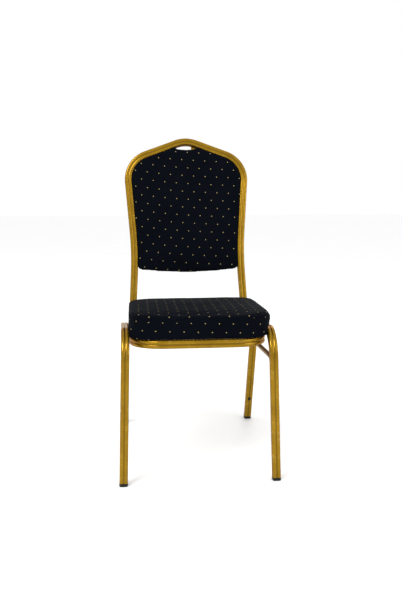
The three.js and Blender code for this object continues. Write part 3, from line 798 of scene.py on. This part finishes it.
def crisp_seam(obj, node, matrix):
    """The seam at the CAD solid's own top edge: a fine groove, with the stuffed shoulder over it and
    faint puckers by it."""
    on_seam_within, sunk, ray, nearly_level = 0.1, 0.05, 10, 0.35
    made = bmesh.new()
    made.from_mesh(obj.data)
    up = matrix.to_3x3() @ UP
    origin = (matrix @ Vector((0, 0, SEAM_Z))) * MM
    for offset in (-SEAM_WIDTH, 0.0, SEAM_WIDTH):
        geometry = made.verts[:] + made.edges[:] + made.faces[:]
        bmesh.ops.bisect_plane(made, geom=geometry, plane_co=origin + up * offset * MM, plane_no=up,
                               dist=0.2 * MM)
    made.to_mesh(obj.data)
    made.free()
    obj.data.update()
    co, normals = coordinates(obj), vertex_normals(obj)
    local = in_plane(matrix, co)
    above = local[:, 2] - SEAM_Z
    up = np.array(up)
    sideways = normals - np.outer(normals @ up, up)
    outside = np.linalg.norm(sideways, axis=1)
    sideways /= np.maximum(outside, 1e-6)[:, None]
    solid = BVHTree.FromObject(NODES[node], bpy.context.evaluated_depsgraph_get())
    near = (np.abs(above) < SEAM_REACH) & ((outside > nearly_level) | (above > 0))
    for index in np.nonzero(near)[0]:
        height = above[index]
        on_seam = abs(height) < on_seam_within
        direction = Vector(sideways[index] if on_seam else normals[index])
        lowered = up * (sunk * MM if on_seam else 0.0)
        inside = Vector(co[index] - lowered) - direction * ray * MM
        hit = solid.ray_cast(inside, direction, 2 * ray * MM)[0]
        if hit is None:
            continue
        share = 1 - abs(height) / SEAM_REACH
        ripple = PUCKERS[0] * noise.noise(Vector(local[index]) * PUCKERS[1]) * share
        shoulder = SHOULDER * math.exp(-((height - SHOULDER_Z) / SHOULDER_SPREAD) ** 2)
        groove = SEAM_GROOVE * math.exp(-(height / SEAM_WIDTH) ** 2)
        target = np.array(hit) + lowered + np.array(direction) * (shoulder - groove + ripple) * MM
        co[index] += (target - co[index]) * min(1.0, 1.6 * share)
    set_coordinates(obj, co)


def dimple(obj, matrix, height, scale, share):
    """Soft unevenness of foam under cloth, along the normals. share is 0 where the surface stays put."""
    co, normals = coordinates(obj), vertex_normals(obj)
    local = in_plane(matrix, co)
    lumps = np.array([noise.noise(Vector(p) * scale) for p in local])
    set_coordinates(obj, co + normals * (height * MM * lumps * share(local))[:, None])


def overhang(obj):
    """The foam swells over the bends of the side frames at the front corners."""
    swell = 5 * MM
    co = coordinates(obj)
    x, y, z = in_plane(SEAT_PLANE, co).T
    front, low, outer = ramp(y, 75, 45), ramp(z, 42, 26), ramp(np.abs(x), 150, 180)
    co[:, 0] += np.sign(x) * swell * front * low * outer
    set_coordinates(obj, co)


def settle(obj):
    """The stuffing settles: the top slopes down to the front edge, and the right edge rounds over."""
    slope_foot, front_drop, seam_drop = 45, -6.5, -4
    co = coordinates(obj)
    x, y, z = in_plane(SEAT_PLANE, co).T
    front = front_drop * ramp(z, slope_foot, SEAM_Z) * ramp(y, 220, 25)
    front *= np.interp(x, [-175, -70, 110, 160], [0, 1, 1, 0.4])
    rounding = np.interp(z, [slope_foot, SEAM_Z, 66, 69.5, 73, 80], [0, seam_drop, 0, 2.5, 0.5, 0])
    rounding *= ramp(x, 120, 165) * np.interp(y, [280, 384], [1, 0.3])
    rise = (front + rounding) * MM
    set_coordinates(obj, co + np.outer(rise, np.array(SEAT_PLANE.to_3x3() @ UP)))


def subdivide(obj):
    modifier = obj.modifiers.new("fine", "SUBSURF")
    modifier.levels = modifier.render_levels = 1
    apply_modifiers(obj)


def shade_smooth(obj):
    obj.data.polygons.foreach_set("use_smooth", [True] * len(obj.data.polygons))


def seat_cushion():
    """The box cushion: held at its board and blown up above it, then seamed and settled."""
    obj = soft_copy("seat_cushion_cover", "seat_cushion", voxel=5.0)
    smooth_shape(obj, 1)
    z = in_plane(SEAT_PLANE, coordinates(obj))[:, 2]
    inflate(obj, ramp(z, *SEAT_HELD), shrink=0.3, cap=2.5)
    subdivide(obj)
    dimple(obj, SEAT_PLANE, *SEAT_LUMPS, lambda p: ramp(p[:, 2], *SEAT_LUMPS_Z))
    crisp_seam(obj, "seat_cushion", SEAT_PLANE)
    shade_smooth(obj)
    write_uv(obj, seat_pattern)
    overhang(obj)
    settle(obj)
    finish_piece(obj, FABRIC, ["seat_cushion"])


def press_outwards(obj):
    """The stuffed sides of a back pad press against the tube."""
    co, normals = coordinates(obj), vertex_normals(obj)
    through = np.array(BACK_PLANE.to_3x3() @ DEPTH)
    sideways = normals - np.outer(normals @ through, through)
    set_coordinates(obj, co + sideways * PAD_PRESS * MM)


def back_pads():
    """Front and rear pads: held at the board and blown up away from it."""
    for side, facing, node in (("front", -1, "back_pad_front"), ("rear", 1, "back_pad_rear")):
        obj = soft_copy(f"back_cover_{side}", node, voxel=4.0)
        smooth_shape(obj, 1)
        depth = in_plane(BACK_PLANE, coordinates(obj))[:, 1] * facing
        inflate(obj, ramp(depth, *BACK_HELD), shrink=0.0, cap=2.0)
        subdivide(obj)
        dimple(obj, BACK_PLANE, *BACK_LUMPS, lambda p: ramp(facing * p[:, 1], *BACK_LUMPS_DEPTH))
        press_outwards(obj)
        shade_smooth(obj)
        write_uv(obj, back_pattern(facing))
        finish_piece(obj, FABRIC, [node])


# ---------- CAD pieces that keep their shape ----------
BEVELS = (("glide_", PLASTIC, 0.8, 3), ("stack_bumper_", PLASTIC, 0.8, 3), ("_screw_", ZINC, 0.25, 2),
          ("_tab_", GOLD, 0.5, 3), ("_board", PLYWOOD, 0.6, 2), ("seat_dust_cover", LINING, 0.2, 1))


def bevelled(node, material, width, segments):
    """The material and soft edges on a CAD node, which keeps its mesh."""
    obj = NODES[node]
    obj.data.materials.clear()
    obj.data.materials.append(material)
    weld = obj.modifiers.new("weld", "WELD")
    weld.merge_threshold = 1e-5
    bevel = obj.modifiers.new("bevel", "BEVEL")
    bevel.width, bevel.segments = width * MM, segments
    bevel.limit_method, bevel.angle_limit = "ANGLE", math.radians(32)


def small_parts():
    for node in NODES:
        for part_of_name, material, width, segments in BEVELS:
            if part_of_name in node:
                bevelled(node, material, width, segments)


# ---------- stage ----------
def make_stage():
    """A plain pale floor, an even white world and three soft lights."""
    lowest = CAD_BOX[0].z
    quarters = ((-1, -1), (1, -1), (1, 1), (-1, 1))
    corners = [(x * FLOOR_HALF, y * FLOOR_HALF, lowest) for x, y in quarters]
    floor = mesh_object("floor", corners, [(0, 1, 2, 3)], smooth=False)
    floor.data.materials.append(floor_paint())
    world = bpy.data.worlds.new("studio")
    world.use_nodes = True
    background = world.node_tree.nodes["Background"]
    background.inputs["Color"].default_value = (1, 1, 1, 1)
    background.inputs["Strength"].default_value = 1.0
    bpy.context.scene.world = world
    for light in LIGHTS:
        area_light(*light)
    bpy.context.scene.view_settings.view_transform = "Standard"


def area_light(name, location, size, power):
    data = bpy.data.lights.new(name, "AREA")
    data.size, data.energy = size, power
    light = bpy.data.objects.new(name, data)
    light.location = location
    target = (CAD_BOX[0] + CAD_BOX[1]) / 2
    light.rotation_euler = (target - Vector(location)).to_track_quat("-Z", "Y").to_euler()
    bpy.context.scene.collection.objects.link(light)


def make_camera():
    data = bpy.data.cameras.new("camera")
    data.sensor_width = 36.0
    data.lens = CAMERA_LENS
    camera = bpy.data.objects.new("camera", data)
    camera.location = CAMERA_PLACE
    camera.rotation_euler = (math.radians(90 - CAMERA_FALL), 0, math.radians(CAMERA_TURN))
    bpy.context.scene.collection.objects.link(camera)
    bpy.context.scene.camera = camera


make_camera()
make_stage()
side_frames()
side_braces()
back_frame()
crown_tab_weld()
seat_frame()
rear_cross_tube()
seat_cushion()
back_pads()
small_parts()
